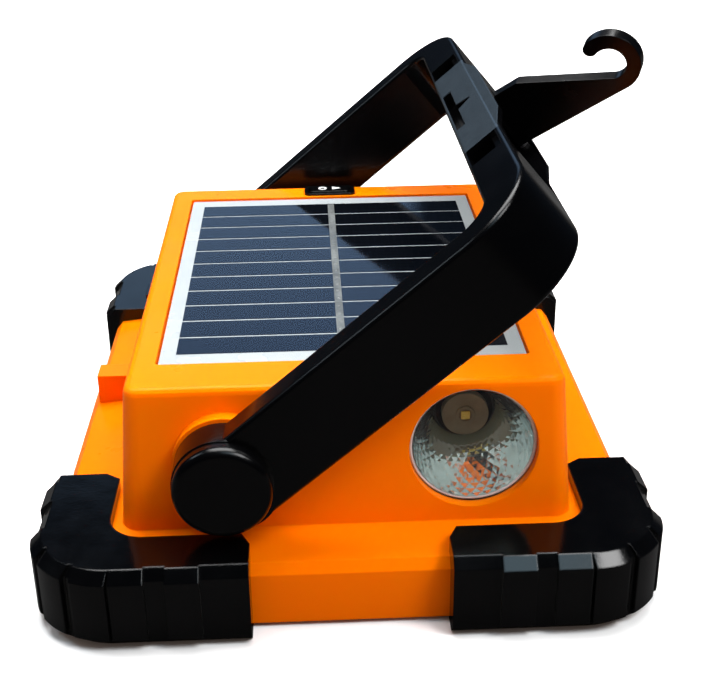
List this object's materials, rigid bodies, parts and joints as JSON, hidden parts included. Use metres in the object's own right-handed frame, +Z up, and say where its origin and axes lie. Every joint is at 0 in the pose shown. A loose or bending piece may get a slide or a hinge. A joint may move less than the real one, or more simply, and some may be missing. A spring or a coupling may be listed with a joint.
{
  "type": "solar flood light",
  "caption": "Rectangular solar work light lying face down on rubber corner bumpers, with a solar panel on its back, a side torch and a folding U handle that carries a swinging hook.",
  "frame": {"origin": "middle of the lamp body on the plane of the four bumpers (the floor), lamp lying face down", "axes": "+Z up through the solar panel, +X to the right across the lamp, +Y from the torch side to the button side; the handle hinges about Y"},
  "size_m": [0.1582, 0.2, 0.1282],
  "materials": {
    "case": "satin orange moulded plastic",
    "bumper": "semi-gloss moulded rubber",
    "handle": "gloss black moulded plastic",
    "black_plastic": "matt",
    "seal": "matt",
    "clear": "clear",
    "chrome": "bright vacuum metallised",
    "white_board": "white solder mask on aluminium",
    "led": "yellow phosphor",
    "panel_white": "white backing",
    "cell": "dark blue silicon",
    "ribbon": "tinned copper",
    "aluminium": "turned",
    "battery": "blue shrink sleeve",
    "green_board": "solder mask",
    "chip": "moulded package",
    "rubber_key": "matt silicone rubber",
    "white_mark": "printed",
    "steel": "zinc plated",
    "lead": "wire insulation",
    "washer": "spring steel"
  },
  "bodies": {
    "lamp": {"rear_case": "case", "bumper_near_left": "bumper", "bumper_near_right": "bumper", "bumper_far_left": "bumper", "bumper_far_right": "bumper", "front_bezel": "black_plastic", "front_gasket": "seal", "flood_lens": "clear", "flood_reflector": "chrome", "led_board": "white_board", "led_chips": "led", "panel_adhesive": "seal", "solar_laminate": "panel_white", "solar_cells": "cell", "solar_ribbon": "ribbon", "solar_film": "clear", "torch_reflector": "chrome", "torch_lens": "clear", "torch_board": "aluminium", "torch_led": "led", "battery_cell_1": "battery", "battery_cell_2": "battery", "battery_holder": "black_plastic", "main_board": "green_board", "board_components": "chip", "switch_board": "green_board", "tact_switch": "chip", "button_bezel": "black_plastic", "usb_socket": "steel", "charge_socket": "black_plastic", "case_screws": "steel", "board_screws": "steel", "solar_lead": "lead", "battery_lead": "lead", "flood_lead": "lead", "torch_lead": "lead", "switch_lead": "lead", "pivot_bolt_near": "steel", "pivot_nut_near": "steel", "friction_washer_near": "washer", "pivot_bolt_far": "steel", "pivot_nut_far": "steel", "friction_washer_far": "washer"},
    "handle": {"handle_frame": "handle", "pivot_cap_near": "handle", "pivot_cap_far": "handle", "hook_pin": "steel"},
    "hook": {"hook": "handle"},
    "mode_button": {"mode_button": "rubber_key", "button_icon": "white_mark"},
    "port_cover": {"port_cover": "rubber_key"}
  },
  "joints": [
    {"name": "handle_pivot", "type": "hinge", "parent": "lamp", "child": "handle", "pos_m": [-0.0295, 0, 0.038], "axis": [0, -1, 0], "range_deg": [-40.2, 139.7]},
    {"name": "hook_fold", "type": "hinge", "parent": "handle", "child": "hook", "pos_m": [0.04726, 0, 0.09993], "axis": [0.6459, 0, -0.7635], "range_deg": [-30, 60]},
    {"name": "mode_button_press", "type": "slide", "parent": "lamp", "child": "mode_button", "axis": [0, 0, -1], "range_m": [0, 0.0008], "stiffness_N_per_m": 400},
    {"name": "port_cover_hinge", "type": "hinge", "parent": "lamp", "child": "port_cover", "pos_m": [-0.0592, 0.04, 0.0226], "axis": [0, -1, 0], "range_deg": [0, 95]}
  ]
}
